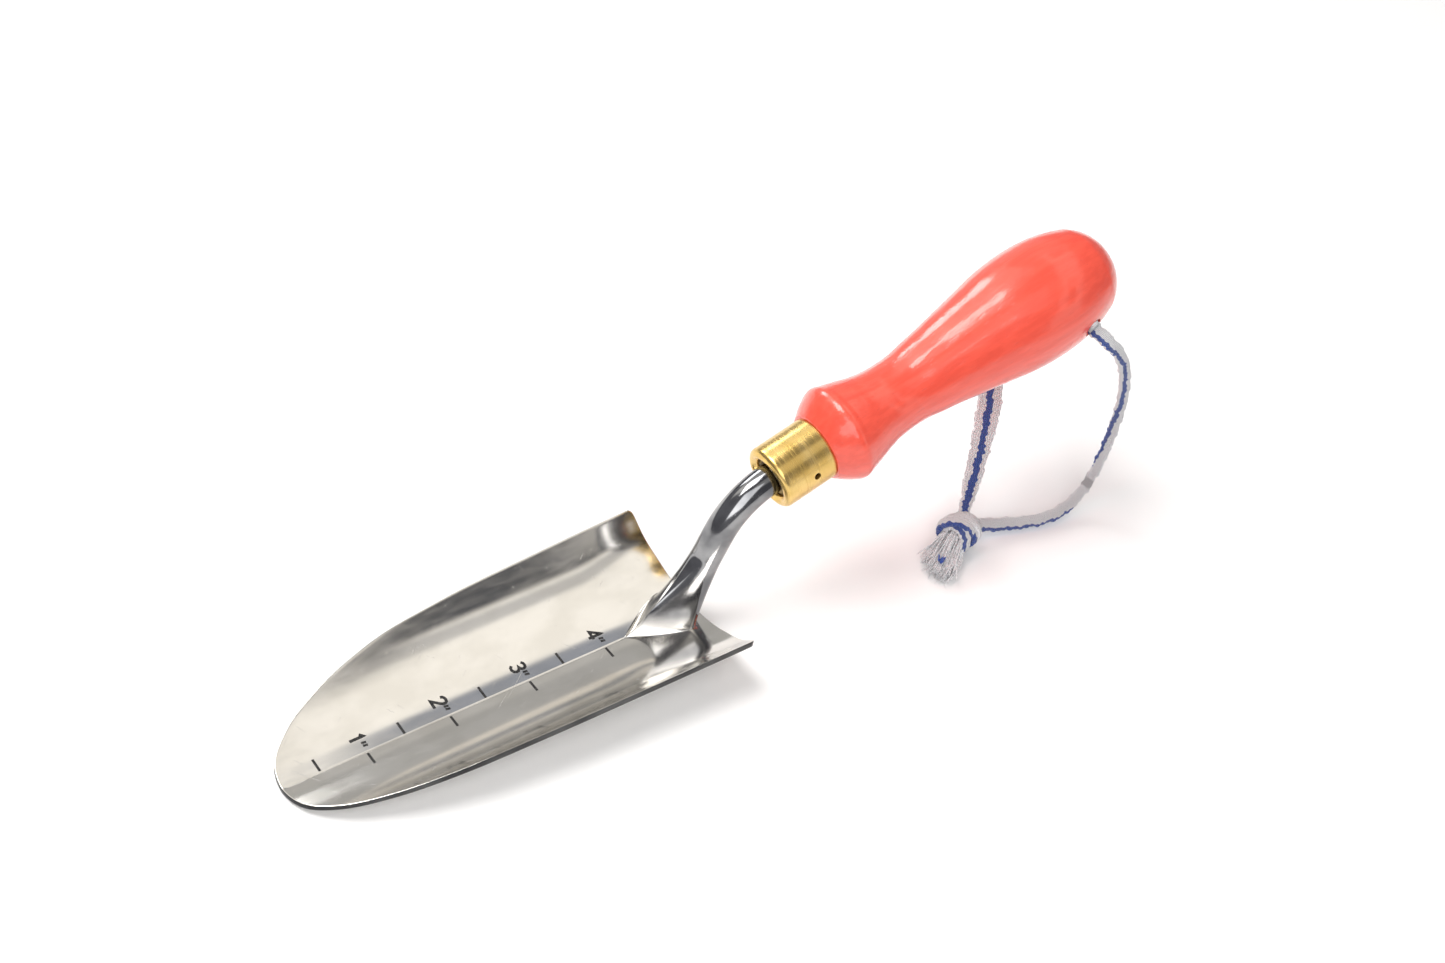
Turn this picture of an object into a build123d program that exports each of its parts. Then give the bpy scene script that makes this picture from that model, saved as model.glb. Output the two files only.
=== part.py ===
"""Hand trowel: pressed steel scoop blade, forged swan neck with a tang, brass ferrule, turned
wooden handle and a hanging loop of flat braided cord.

Frame: +X runs from the tip of the blade to the butt of the handle, +Y is the blade's left wing
and +Z is up.  The keel of the blade lies on Z = 0.  The origin is under the middle of the
trowel's length.  Millimetres.
"""
import os
from math import cos, pi, radians, sin, tan

from build123d import *

os.makedirs("parts", exist_ok=True)

# overall
overall_length = 271.5
tip_x = -overall_length / 2

# blade: a constant trough section, trimmed to a pointed plan outline
blade_length = 129.1
sheet = 1.6
crease_half = 8.0            # flat of the shallow vee on each side of the crease
crease_pitch = 6.5           # degrees
shoulder_radius = 24.0
flank_pitch = 46.0           # degrees
flank_length = 14.0
heel_bulge = 2.6
half_outline = [             # distance from the tip, half width
    (2.0, 7.9), (8, 13.8), (20.5, 19.9), (39, 24.7), (63, 27.2), (95, 28.7), (blade_length, 29.8),
]
corner_radius = 1.6
stock_margin = 3.0           # how far the untrimmed sheet runs past each end
stock_height = 40.0
crease_top = sheet / cos(radians(crease_pitch))

# engraved inch scale beside the crease
inch = 25.4
scale_inches = 4
scale_start = -0.5
half_mark_shift = -0.9
mark_length = 4.0
mark_width = 0.5
mark_gap = 0.5               # from the crease to the near end of a mark
engraving_depth = 0.25
score_width = 0.5
score_start = 1.0
score_end = 106.9

# handle axis, which starts at the mouth of the ferrule
axis_pitch = 17.4            # degrees
mouth = Vector(tip_x + 151.2, 0, 41.5 + crease_top)
axis_dir = Vector(cos(radians(axis_pitch)), 0, sin(radians(axis_pitch)))
axis_side = Plane(origin=mouth, x_dir=axis_dir, z_dir=(0, -1, 0))
axis_line = Axis(mouth, axis_dir)

# swan neck and tang
neck_radius = 4.5
neck_bend = 23.5
neck_pitch = 67.4            # degrees, steepness of the straight stretch
neck_insert = 8.0            # how far the full round goes into the ferrule
straight_length = 13.0
tang_radius = 3.2
tang_length = 46.0
foot_x = tip_x + 120.6
foot_sections = [            # height over the crease, centre offset, half length, half width
    (0.0, -1.9, 11.7, 9.4),
    (2.6, 2.4, 7.9, 6.9),
    (6.6, 5.8, 6.2, 5.3),
    (11.0, 8.3, 5.6, 4.7),
]
joint_share = 0.25           # how far down from the straight stretch the flare begins
bead_sections = [            # the same, for the weld bead round the foot
    (0.0, -2.1, 12.6, 10.6),
    (1.8, -0.5, 9.2, 7.9),
]

# ferrule
ferrule_radius = 9.45
ferrule_length = 17.4
ferrule_wall = 1.2
ferrule_rim = 1.8
mouth_radius = 6.1
lip_start = 1.0              # where the turned-in lip meets the mouth
lip_end = 2.0
pin_radius = 0.8
pin_hole_radius = 1.0
pin_sink = 1.4               # how far the pin's head lies under the surface
pin_overrun = 1.0
pin_along = 10.7
pin_angle = 170.0            # degrees about the axis, from +Y towards up

# handle
handle_end = 125.3
collar_root = 10.2           # radius where the collar leaves the ferrule
turned_profile = [           # distance from the mouth, radius
    (19.6, 11.9), (22, 13.4), (25.2, 14.7), (28, 14.0), (32, 12.9), (36, 11.75), (40, 10.9),
    (45, 10.5), (50, 10.6), (56, 11.5), (62, 12.35), (68, 13.4), (74, 14.45), (80, 15.5),
    (86, 16.6), (92, 17.25), (98, 17.45), (104, 17.15), (109, 16.35), (113, 15.3),
]
butt_radius = 15.8
butt_arc_angle = 62.0        # degrees
bore_radius = 3.7
neck_bore_radius = 5.2
neck_bore_end = 9.5
bore_end = 56.0
cord_hole_radius = 3.0
cord_hole_along = 107.0
cord_hole_tilt = 14.0        # degrees, near mouth low and far mouth high
cord_hole_half = 17.1

# hanging cord, a flat braid drawn as round tubes of about its bulk
cord_radius = 2.2
cord_clearance = 0.1
turn_share = 0.45            # share of the shorter run that a turn's arc may use
near_leg_route = [
    (118.8, -16.6, 71.2), (120.6, -20.6, 69.0), (125.8, -22.8, 64.2), (132.5, -22.6, 53.8),
    (137.2, -21.6, 40.5), (139.1, -20.6, 27.5), (138.2, -20.6, 16.5), (134.2, -21.6, 7.6),
    (126.2, -23.2, 2.9), (116.7, -23.8, 2.3), (106.8, -21.2, 2.4), (97.8, -17.7, 2.9),
    (90.4, -16.2, 4.8),
]
far_leg_route = [
    (116.3, 16.6, 79.1), (116.2, 19.0, 75.5), (115.8, 21.0, 70.0), (115.0, 21.4, 64.0),
    (113.4, 18.9, 56.5), (111.0, 12.8, 46.6), (106.8, 3.6, 36.8), (100.8, -2.3, 28.2),
    (95.2, -7.5, 18.3), (90.3, -11.5, 11.3), (86.6, -14.6, 9.2),
]
knot_centre = Vector(83.1, -17.2, 6.3)
knot_long = 7.6
knot_round = 6.0
tail_dir = Vector(-0.937, -0.35, 0)
tail_root = 4.0              # distance from the middle of the knot
tail_root_drop = 1.6
tail_root_half_width = 3.2
tail_root_half_height = 2.6
tail_length = 18.0
tail_half_width = 7.5
tail_half_height = 2.1


def along(distance):
    """Point on the handle axis, measured from the mouth of the ferrule."""
    return mouth + axis_dir * distance


def around(angle):
    """Direction square to the handle axis: 0 is +Y and 90 is upwards."""
    up = Vector(-axis_dir.Z, 0, axis_dir.X)
    return Vector(0, 1, 0) * cos(radians(angle)) + up * sin(radians(angle))


def save(block, name):
    """Label a finished piece and write its STEP file."""
    block.part.label = name
    export_step(block.part, f"parts/{name}.step")


def make_blade():
    """Trough section run along the blade, trimmed in plan and engraved with the scale."""
    section_plane = Plane(origin=(tip_x - stock_margin, 0, crease_top), x_dir=(0, 1, 0), z_dir=(1, 0, 0))
    rear_x = tip_x + blade_length
    with BuildPart() as blade:
        with BuildSketch(section_plane):
            with BuildLine():
                flat = PolarLine((0, 0), crease_half / cos(radians(crease_pitch)), crease_pitch)
                bend = JernArc(flat @ 1, flat % 1, shoulder_radius, flank_pitch - crease_pitch)
                PolarLine(bend @ 1, flank_length, flank_pitch)
                mirror(about=Plane.YZ)
                offset(amount=sheet, side=Side.RIGHT, kind=Kind.INTERSECTION)
            make_face()
        extrude(amount=blade_length + 2 * stock_margin)
        with BuildSketch() as plan:
            with BuildLine():
                left = [(tip_x + run, half) for run, half in half_outline]
                right = [(x, -y) for x, y in reversed(left)]
                edge = Spline(*right, (tip_x, 0), *left)
                ThreePointArc(edge @ 1, (rear_x + heel_bulge, 0), edge @ 0)
            make_face()
            fillet(plan.vertices().group_by(Axis.X)[-1], corner_radius)
        extrude(amount=stock_height, mode=Mode.INTERSECT)
        # scored centre line
        with Locations((tip_x + (score_start + score_end) / 2, 0, crease_top)):
            Box(score_end - score_start, score_width, 2 * engraving_depth, mode=Mode.SUBTRACT)
        # half-inch marks on the left wing and inch marks on the right wing
        for count in range(1, 2 * scale_inches + 1):
            is_half = count % 2 == 1
            side = 1 if is_half else -1
            x = tip_x + scale_start + count * inch / 2 + (half_mark_shift if is_half else 0)
            y = side * (mark_gap + mark_length / 2)
            z = crease_top + abs(y) * tan(radians(crease_pitch))
            with Locations(Location((x, y, z), (side * crease_pitch, 0, 0))):
                Box(mark_width, mark_length, 2 * engraving_depth, mode=Mode.SUBTRACT)
    save(blade, "blade")
    return blade


def make_neck(blade):
    """Swan neck: round bar with a flared foot on the blade and a thinner tang in the handle."""
    heading = Vector(-cos(radians(neck_pitch)), 0, -sin(radians(neck_pitch)))
    with BuildPart() as neck:
        with BuildLine(Plane.XZ) as route:
            shoulder = along(neck_insert)
            bar = Line((shoulder.X, shoulder.Z), (mouth.X, mouth.Z))
            bend = JernArc(bar @ 1, bar % 1, neck_bend, neck_pitch - axis_pitch)
            PolarLine(bend @ 1, straight_length, 180 + neck_pitch)
        with BuildSketch(Plane(origin=shoulder, z_dir=axis_dir)):
            Circle(neck_radius)
        sweep(path=route.wire())
        # foot flaring down onto the blade
        top = route.wire() @ 1
        run = (top.Z - crease_top - foot_sections[-1][0]) / -heading.Z
        joint = top + heading * run * joint_share
        for height, ahead, half_length, half_width in foot_sections:
            with BuildSketch(Plane((foot_x + ahead, 0, crease_top + height), x_dir=(1, 0, 0))):
                Ellipse(half_length, half_width)
        with BuildSketch(Plane(joint, x_dir=(1, 0, 0), z_dir=(0, 0, 1))):
            Ellipse(neck_radius / sin(radians(neck_pitch)), neck_radius)
        loft()
        with BuildSketch(Plane(origin=shoulder, z_dir=axis_dir)):
            Circle(tang_radius)
        extrude(amount=tang_length)
        add(blade.part, mode=Mode.SUBTRACT)
        add(make_pin_tool(pin_radius), mode=Mode.SUBTRACT)
    save(neck, "swan_neck")
    return neck


def make_bead(blade, neck):
    """Weld bead round the foot of the neck."""
    with BuildPart() as bead:
        for height, ahead, half_length, half_width in bead_sections:
            with BuildSketch(Plane((foot_x + ahead, 0, crease_top + height), x_dir=(1, 0, 0))):
                Ellipse(half_length, half_width)
        loft()
        add(blade.part, mode=Mode.SUBTRACT)
        add(neck.part, mode=Mode.SUBTRACT)
    save(bead, "weld_bead")


def make_pin_tool(radius):
    """Round bar on the line of the ferrule pin, from outside the ferrule into the tang."""
    outward = around(pin_angle)
    start = along(pin_along) + outward * (ferrule_radius + pin_overrun)
    with BuildPart(Plane(start, z_dir=-outward)) as tool:
        Cylinder(radius, ferrule_radius + pin_overrun, align=(Align.CENTER, Align.CENTER, Align.MIN))
    return tool.part


def make_ferrule():
    """Brass cup with a rolled front rim, turned in round the neck."""
    inner = ferrule_radius - ferrule_wall
    with BuildPart() as ferrule:
        with BuildSketch(axis_side):
            with BuildLine():
                Line((ferrule_length, inner), (ferrule_length, ferrule_radius))
                Line((ferrule_length, ferrule_radius), (ferrule_rim, ferrule_radius))
                RadiusArc((ferrule_rim, ferrule_radius), (0, ferrule_radius - ferrule_rim), ferrule_rim)
                Polyline(
                    (0, ferrule_radius - ferrule_rim), (lip_start, mouth_radius),
                    (lip_end, mouth_radius), (lip_end, inner), (ferrule_length, inner),
                )
            make_face()
        revolve(axis=axis_line)
        add(make_pin_tool(pin_hole_radius), mode=Mode.SUBTRACT)
    save(ferrule, "ferrule")


def make_pin():
    """Small steel pin through the ferrule, the spigot and the tang, sunk below the surface."""
    outward = around(pin_angle)
    reach = ferrule_radius - pin_sink
    start = along(pin_along) + outward * reach
    with BuildPart(Plane(start, z_dir=-outward)) as pin:
        Cylinder(pin_radius, reach, align=(Align.CENTER, Align.CENTER, Align.MIN))
    save(pin, "ferrule_pin")


def make_handle():
    """Turned handle: spigot in the ferrule, flared collar, waist, swelling and domed butt."""
    spigot = ferrule_radius - ferrule_wall
    hole_dir = around(cord_hole_tilt)
    with BuildPart() as handle:
        with BuildSketch(axis_side):
            with BuildLine():
                Polyline(
                    (bore_end, 0), (bore_end, bore_radius), (neck_bore_end, bore_radius),
                    (neck_bore_end, neck_bore_radius), (lip_end, neck_bore_radius),
                    (lip_end, spigot), (ferrule_length, spigot), (ferrule_length, collar_root),
                )
                butt_centre = (handle_end - butt_radius, 0)
                butt_arc = CenterArc(butt_centre, butt_radius, butt_arc_angle, -butt_arc_angle)
                Spline((ferrule_length, collar_root), *turned_profile, butt_arc @ 0)
                Line(butt_arc @ 1, (bore_end, 0))
            make_face()
        revolve(axis=axis_line)
        with BuildSketch(Plane(along(cord_hole_along), z_dir=hole_dir)):
            Circle(cord_hole_radius)
        extrude(amount=2 * cord_hole_half, both=True, mode=Mode.SUBTRACT)
        add(make_pin_tool(pin_radius), mode=Mode.SUBTRACT)
    save(handle, "handle")
    return handle


def make_adhesive(neck):
    """Hardened adhesive that fills the bore round the neck and the tang."""
    with BuildPart() as adhesive:
        with BuildSketch(axis_side):
            with BuildLine():
                Polyline(
                    (lip_end, 0), (lip_end, neck_bore_radius), (neck_bore_end, neck_bore_radius),
                    (neck_bore_end, bore_radius), (bore_end, bore_radius), (bore_end, 0),
                    (lip_end, 0),
                )
            make_face()
        revolve(axis=axis_line)
        add(neck.part, mode=Mode.SUBTRACT)
        add(make_pin_tool(pin_radius), mode=Mode.SUBTRACT)
    save(adhesive, "tang_adhesive")


def turn_radii(points):
    """Radius at each corner: as large as the two runs beside it allow."""
    corners = [Vector(point) for point in points]
    radii = []
    for before, corner, after in zip(corners, corners[1:], corners[2:]):
        turn = (corner - before).get_angle(after - corner)
        shorter = min((corner - before).length, (after - corner).length)
        radii.append(turn_share * shorter / tan(radians(turn / 2)))
    return radii


def make_cord(name, points, trims):
    """Round tube along straight runs joined by tangent arcs."""
    radii = turn_radii(points)
    with BuildPart() as cord:
        with BuildLine() as route:
            FilletPolyline(*points, radius=radii)
        path = route.wire()
        with BuildSketch(Plane(origin=path @ 0, z_dir=path % 0)):
            Circle(cord_radius)
        sweep(path=path)
        for trim in trims:
            add(trim, mode=Mode.SUBTRACT)
    save(cord, name)
    expected = pi * cord_radius**2 * path.length
    print(name, "length", round(path.length, 1), "volume ratio", round(cord.part.volume / expected, 3))
    print("   radii", [round(radius, 1) for radius in radii])
    return path.length


def make_cord_bore():
    """The stretch of cord that fills the cross hole of the handle."""
    with BuildPart(Plane(along(cord_hole_along), z_dir=around(cord_hole_tilt))) as stretch:
        Cylinder(cord_hole_radius, 2 * cord_hole_half)
    save(stretch, "cord_in_handle")
    return stretch


def make_knot():
    """Overhand knot that closes the loop."""
    side_plane = Plane(origin=knot_centre, x_dir=tail_dir, z_dir=(-tail_dir.Y, tail_dir.X, 0))
    with BuildPart() as knot:
        with BuildSketch(side_plane):
            Ellipse(knot_long, knot_round)
            with Locations((0, -knot_round)):
                Rectangle(2 * knot_long, 2 * knot_round, mode=Mode.SUBTRACT)
        revolve(axis=Axis(knot_centre, tail_dir))
    save(knot, "cord_knot")
    return knot


def make_tails(knot):
    """The two frayed ends of the cord, lying together in one flat brush."""
    across = Vector(tail_dir.Y, -tail_dir.X, 0)
    root = knot_centre + tail_dir * tail_root - Vector(0, 0, tail_root_drop)
    end = knot_centre + tail_dir * tail_length
    end.Z = tail_half_height + cord_clearance
    with BuildPart() as tails:
        with BuildSketch(Plane(origin=root, x_dir=across, z_dir=tail_dir)):
            Ellipse(tail_root_half_width, tail_root_half_height)
        with BuildSketch(Plane(origin=end, x_dir=across, z_dir=tail_dir)):
            Ellipse(tail_half_width, tail_half_height)
        loft()
        add(knot.part, mode=Mode.SUBTRACT)
    save(tails, "cord_tails")


if __name__ == "__main__":
    blade = make_blade()
    neck = make_neck(blade)
    make_bead(blade, neck)
    make_ferrule()
    make_pin()
    handle = make_handle()
    make_adhesive(neck)
    stretch = make_cord_bore()
    knot = make_knot()
    make_tails(knot)
    make_cord("cord_near_leg", near_leg_route, [stretch.part, knot.part, handle.part])
    make_cord("cord_far_leg", far_leg_route, [stretch.part, knot.part, handle.part])
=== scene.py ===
"""Looks of the hand trowel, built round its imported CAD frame.

Metres, +X from the tip of the blade to the butt, +Y the blade's left wing, +Z up, Z = 0 the
surface that the keel lies on.
"""
import math
import random

import bmesh
import bpy
from mathutils import Matrix, Vector


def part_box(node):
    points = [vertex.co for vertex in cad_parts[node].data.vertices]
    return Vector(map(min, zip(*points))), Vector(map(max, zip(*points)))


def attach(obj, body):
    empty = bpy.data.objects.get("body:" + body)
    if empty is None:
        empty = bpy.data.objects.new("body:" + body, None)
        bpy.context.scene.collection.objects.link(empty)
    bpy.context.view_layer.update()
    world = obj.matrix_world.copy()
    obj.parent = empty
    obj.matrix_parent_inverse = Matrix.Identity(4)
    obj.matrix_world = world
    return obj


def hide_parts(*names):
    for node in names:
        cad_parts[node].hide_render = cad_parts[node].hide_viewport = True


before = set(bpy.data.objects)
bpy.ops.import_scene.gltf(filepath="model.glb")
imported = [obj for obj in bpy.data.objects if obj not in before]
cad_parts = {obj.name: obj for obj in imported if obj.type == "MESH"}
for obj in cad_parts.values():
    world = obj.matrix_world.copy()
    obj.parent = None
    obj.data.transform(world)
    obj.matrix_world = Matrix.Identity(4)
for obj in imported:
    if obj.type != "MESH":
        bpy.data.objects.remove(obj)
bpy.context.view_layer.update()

MM = 0.001
BODY = "root"
TIP_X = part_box("blade")[0].x

# handle axis, from the mouth of the ferrule towards the butt
AXIS_PITCH = math.radians(17.4)
CREASE_TOP = 1.61 * MM
MOUTH = Vector((TIP_X + 151.2 * MM, 0, 41.5 * MM + CREASE_TOP))
AXIS = Vector((math.cos(AXIS_PITCH), 0, math.sin(AXIS_PITCH)))
AXIS_UP = Vector((-AXIS.z, 0, AXIS.x))

# cross hole for the cord: distance from the mouth, and how far its far end is tilted up
HOLE_ALONG = 107.0
HOLE_TILT = math.radians(14)


# ---------------------------------------------------------------- camera
CAMERA_AT = Vector((-0.3226, -0.3260, 0.4583))
CAMERA_LOOK = Vector((0.5234, 0.5318, -0.6658))
CAMERA_ROLL = math.radians(11.0)
CAMERA_LENS = 56.06


def make_camera():
    """Camera at the viewing angle, rolled a little about its own axis."""
    look = CAMERA_LOOK.normalized()
    level = look.cross(Vector((0, 0, 1))).normalized()
    right = Matrix.Rotation(-CAMERA_ROLL, 3, look) @ level
    up = right.cross(look)
    data = bpy.data.cameras.new("camera")
    data.sensor_width = 36.0
    data.lens = CAMERA_LENS
    data.clip_start = 0.01
    camera = bpy.data.objects.new("camera", data)
    rotation = Matrix((right, up, -look)).transposed()
    camera.matrix_world = Matrix.Translation(CAMERA_AT) @ rotation.to_4x4()
    bpy.context.scene.collection.objects.link(camera)
    bpy.context.scene.camera = camera


make_camera()


# ---------------------------------------------------------------- helpers
def add_object(name, mesh):
    """Link a mesh as an object."""
    obj = bpy.data.objects.new(name, mesh)
    bpy.context.scene.collection.objects.link(obj)
    return obj


def mesh_from(name, verts, faces, uvs=None, smooth=True):
    """Mesh with outward normals, smooth shading and an optional UV for each vertex."""
    mesh = bpy.data.meshes.new(name)
    mesh.from_pydata([tuple(v) for v in verts], [], faces)
    if uvs is not None:
        layer = mesh.uv_layers.new(name="UVMap")
        for loop in mesh.loops:
            layer.data[loop.index].uv = uvs[loop.vertex_index]
    mesh.polygons.foreach_set("use_smooth", [smooth] * len(mesh.polygons))
    mesh.update()
    return mesh


def fix_normals(mesh, weld=0.0):
    """Make every face look outwards, once vertices nearer than weld are joined."""
    work = bmesh.new()
    work.from_mesh(mesh)
    if weld:
        bmesh.ops.remove_doubles(work, verts=work.verts, dist=weld)
    bmesh.ops.recalc_face_normals(work, faces=work.faces)
    work.to_mesh(mesh)
    work.free()


def grid_faces(rows, columns, closed=False, start=0):
    """Quads of a grid of vertices, row by row; closed joins the last column to the first."""
    faces = []
    span = columns if closed else columns - 1
    for i in range(rows - 1):
        for j in range(span):
            a = start + i * columns + j
            b = start + i * columns + (j + 1) % columns
            faces.append((a, b, b + columns, a + columns))
    return faces


def smoothstep(low, high, x):
    """0 below low, 1 above high, smooth between."""
    t = min(max((x - low) / (high - low), 0.0), 1.0)
    return t * t * (3 - 2 * t)


def finish_piece(obj, slot, *replaced):
    """Put a piece on the body and hide the CAD nodes that it stands for; the slot argument is not used.
    """
    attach(obj, BODY)
    if replaced:
        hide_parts(*replaced)
    return obj


# ---------------------------------------------------------------- cord
NEAR_LEG = [
    (118.8, -16.6, 71.2), (120.6, -20.6, 69.0), (125.8, -22.8, 64.2), (132.5, -22.6, 53.8),
    (137.2, -21.6, 40.5), (139.1, -20.6, 27.5), (138.2, -20.6, 16.5), (134.2, -21.6, 7.6),
    (126.2, -23.2, 2.9), (116.7, -23.8, 2.3), (106.8, -21.2, 2.4), (97.8, -17.7, 2.9),
    (90.4, -16.2, 4.8),
]
FAR_LEG = [
    (116.3, 16.6, 79.1), (116.2, 19.0, 75.5), (115.8, 21.0, 70.0), (115.0, 21.4, 64.0),
    (113.4, 18.9, 56.5), (111.0, 12.8, 46.6), (106.8, 3.6, 36.8), (100.8, -2.3, 28.2),
    (95.2, -7.5, 18.3), (90.3, -11.5, 11.3), (86.6, -14.6, 9.2),
]
KNOT_CENTRE = Vector((83.1, -17.2, 6.3)) * MM


def route_points(name, points):
    """Points along the smooth NURBS line whose control points are the route's points."""
    curve = bpy.data.curves.new(name + "_line", "CURVE")
    curve.dimensions = "3D"
    spline = curve.splines.new("NURBS")
    spline.points.add(len(points) - 1)
    for point, place in zip(spline.points, points):
        point.co = (*(Vector(place) * MM), 1.0)
    spline.order_u = 3
    spline.use_endpoint_u = True
    spline.resolution_u = 24
    holder = bpy.data.objects.new(name + "_line", curve)
    bpy.context.scene.collection.objects.link(holder)
    bpy.context.view_layer.update()
    mesh = bpy.data.meshes.new_from_object(holder)
    line = [v.co.copy() for v in mesh.vertices]
    bpy.data.objects.remove(holder)
    bpy.data.meshes.remove(mesh)
    bpy.data.curves.remove(curve)
    return line


def line_length(line):
    """Length of a chain of points."""
    return sum((b - a).length for a, b in zip(line, line[1:]))


def resample(line, step):
    """The same line at even steps, with its tangents."""
    total = line_length(line)
    count = max(int(round(total / step)), 2)
    spots, place, index = [], 0.0, 0
    for k in range(count + 1):
        target = total * k / count
        while index < len(line) - 2 and place + (line[index + 1] - line[index]).length < target:
            place += (line[index + 1] - line[index]).length
            index += 1
        run = line[index + 1] - line[index]
        share = (target - place) / run.length if run.length > 0 else 0.0
        spots.append(line[index] + run * min(max(share, 0.0), 1.0))
    tangents = []
    for k in range(len(spots)):
        ahead = spots[min(k + 1, len(spots) - 1)]
        behind = spots[max(k - 1, 0)]
        tangents.append((ahead - behind).normalized())
    return spots, tangents, total


def between(stops):
    """Function of the share of the way along that runs smoothly through (share, value) stops."""
    def value(share):
        for (a, first), (b, second) in zip(stops, stops[1:]):
            if share <= b:
                return first + (second - first) * smoothstep(a, b, share)
        return stops[-1][1]
    return value


def tape_mesh(name, line, facing, width_at, thick_at, stripe_at, seed, broad=1.0):
    """Flat knitted braid along a line.

    facing(spot) is the way that its flat side looks, and stripe_at is where the coloured stripe
    lies across it, from -1 to 1, and broad is how wide the stripe is to the usual.
    """
    around = 40
    spots, tangents, total = resample(line, 0.3 * MM)
    verts, uvs = [], []
    rnd = random.Random(seed)
    drift = [rnd.uniform(0, 6.28) for _ in range(4)]
    for k, (spot, tangent) in enumerate(zip(spots, tangents)):
        share = k / (len(spots) - 1)
        normal = Vector(facing(spot))
        normal = (normal - tangent * normal.dot(tangent)).normalized()
        across = tangent.cross(normal)
        run = share * total / MM
        half, thick, stripe = width_at(share) * MM / 2, thick_at(share) * MM / 2, stripe_at(share)
        wander = 0.12 * math.sin(run * 0.9 + drift[0]) + 0.1 * math.sin(run * 2.1 + drift[1])
        for j in range(around):
            angle = 2 * math.pi * j / around
            c, s = math.cos(angle), math.sin(angle)
            flat_c = math.copysign(abs(c) ** 0.8, c)
            flat_s = math.copysign(abs(s) ** 0.6, s)
            # lengthwise columns of chain stitches
            column = flat_c * half / MM / 0.95
            row = run / 1.25 + 0.5 * (round(column) % 2)
            stitch = 0.09 * math.cos(2 * math.pi * column) + 0.07 * math.sin(2 * math.pi * row)
            bite = 0.13 * math.sin(2 * math.pi * run / 1.9 + drift[2] + (0 if c > 0 else 2.2))
            bite += 0.1 * math.sin(2 * math.pi * run / 5.3 + drift[3] + (0 if c > 0 else 1.1))
            verts.append(
                spot
                + across * (flat_c * half + (wander + bite * c * c * c) * MM)
                + normal * (flat_s * (thick + stitch * MM))
            )
            uvs.append(((flat_c - stripe) * half / MM / broad, run))
    faces = grid_faces(len(spots), around, closed=True)
    faces.append(tuple(range(around))[::-1])
    faces.append(tuple(range((len(spots) - 1) * around, len(spots) * around)))
    mesh = mesh_from(name, verts, faces, uvs)
    fix_normals(mesh)
    return mesh, spots, total


TO_FRONT = Vector((-0.55, -0.50, 0.67))


def to_front(spot):
    """Way that the tape's flat side looks away from the handle."""
    return TO_FRONT


def to_front_below_handle(spot):
    """Flat against the handle where the tape leaves its hole, then towards the front."""
    from_axis = spot - MOUTH
    from_axis -= AXIS * from_axis.dot(AXIS)
    return TO_FRONT.lerp(-from_axis.normalized(), smoothstep(0.060, 0.070, spot.z))


def make_cord_leg(name, route, widths, thick, stripe, seed, replaced, broad, facing):
    """One leg of the loop."""
    line = route_points(name, route)
    mesh, spots, total = tape_mesh(
        name, line, facing, between(widths), between(thick), between(stripe), seed,
        broad)
    leg = add_object(name, mesh)
    finish_piece(leg, "braided_cord", *replaced)
    return leg


TAIL_DIR = Vector((-0.90, -0.43, 0)).normalized()
TAIL_SIDE = Vector((TAIL_DIR.y, -TAIL_DIR.x, 0))
WRAP_THICK = 2.1


def make_wrap(name, offset, radius, tilt, start, turns, width, stripe, seed):
    """One turn of the tape round the knot, with its ends tucked in."""
    steps = 90
    line = []
    for k in range(steps + 1):
        share = k / steps
        angle = start + 2 * math.pi * turns * share
        tuck = 1 - 0.45 * abs(2 * share - 1) ** 8
        out = TAIL_SIDE * math.cos(angle) + Vector((0, 0, 1)) * math.sin(angle)
        lean = offset + tilt * math.cos(angle - 0.6) + 1.2 * (share - 0.5)
        line.append(KNOT_CENTRE + TAIL_DIR * (lean * MM) + out * (radius * tuck * MM))

    def outward(spot):
        arm = spot - KNOT_CENTRE
        return arm - TAIL_DIR * arm.dot(TAIL_DIR) * 0.35

    mesh, _, _ = tape_mesh(
        name, line, outward, lambda share: width, lambda share: WRAP_THICK,
        lambda share: stripe, seed)
    return add_object(name, mesh)


def make_knot():
    """Overhand knot: a packed core with turns of the tape pulled tight round it."""
    core_verts, core_uvs = [], []
    rings, around = 20, 36
    for i in range(rings + 1):
        polar = math.pi * i / rings
        for j in range(around):
            angle = 2 * math.pi * j / around
            out = TAIL_SIDE * math.cos(angle) + Vector((0, 0, 1)) * math.sin(angle)
            swell = 1 + 0.06 * math.sin(3 * angle + 2 * polar)
            core_verts.append(
                KNOT_CENTRE
                + TAIL_DIR * ((4.0 * math.cos(polar) - 0.8) * MM)
                + out * (4.3 * MM * math.sin(polar) * swell)
            )
            core_uvs.append((2.5 + math.sin(angle), i))
    core = mesh_from("knot_core", core_verts, grid_faces(rings + 1, around, closed=True), core_uvs)
    fix_normals(core)
    core = finish_piece(add_object("knot_core", core), "braided_cord", "cord_knot")
    wraps = [
        make_wrap("knot_wrap_1", -2.2, 5.0, 1.5, 0.5, 1.15, 4.6, 1.9, 5),
        make_wrap("knot_wrap_2", 0.4, 5.3, 1.7, 2.4, 1.1, 3.6, 0.95, 6),
        make_wrap("knot_wrap_3", 3.0, 3.9, -1.1, 4.0, 1.15, 3.6, 0.4, 7),
    ]
    for wrap in wraps:
        finish_piece(wrap, "braided_cord")
    return [core] + wraps


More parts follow.
